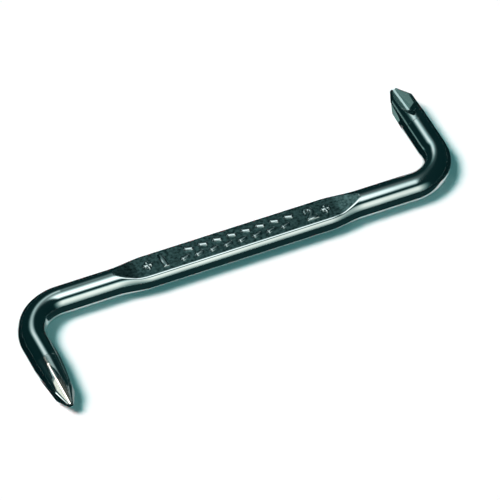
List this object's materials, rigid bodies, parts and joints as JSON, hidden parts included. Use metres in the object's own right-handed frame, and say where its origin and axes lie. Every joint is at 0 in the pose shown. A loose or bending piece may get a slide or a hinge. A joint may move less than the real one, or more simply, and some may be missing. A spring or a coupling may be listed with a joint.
{
  "type": "offset screwdriver",
  "caption": "Z-shaped offset screwdriver forged from round steel bar, with a flattened grip and a cross tip on each right-angled leg, one smaller and one larger.",
  "frame": {"origin": "middle of the flattened grip, on the axis of the bar, which is also the middle of the tool's box", "axes": "+X along the bar towards the leg with the larger tip; +Y the way that leg points, so the leg with the smaller tip points along -Y; +Z square to both legs and to the grip's flats, the tool's thin direction"},
  "size_m": [0.119, 0.0634, 0.007],
  "materials": {
    "polished_steel": "polished and plated forging",
    "ground_steel": "ground, then plated"
  },
  "bodies": {
    "root": {"grip": "polished_steel", "arm_1": "polished_steel", "arm_2": "polished_steel", "bend_1": "polished_steel", "bend_2": "polished_steel", "shank_1": "polished_steel", "shank_2": "polished_steel", "tip_1": "ground_steel", "tip_2": "ground_steel"}
  },
  "joints": []
}
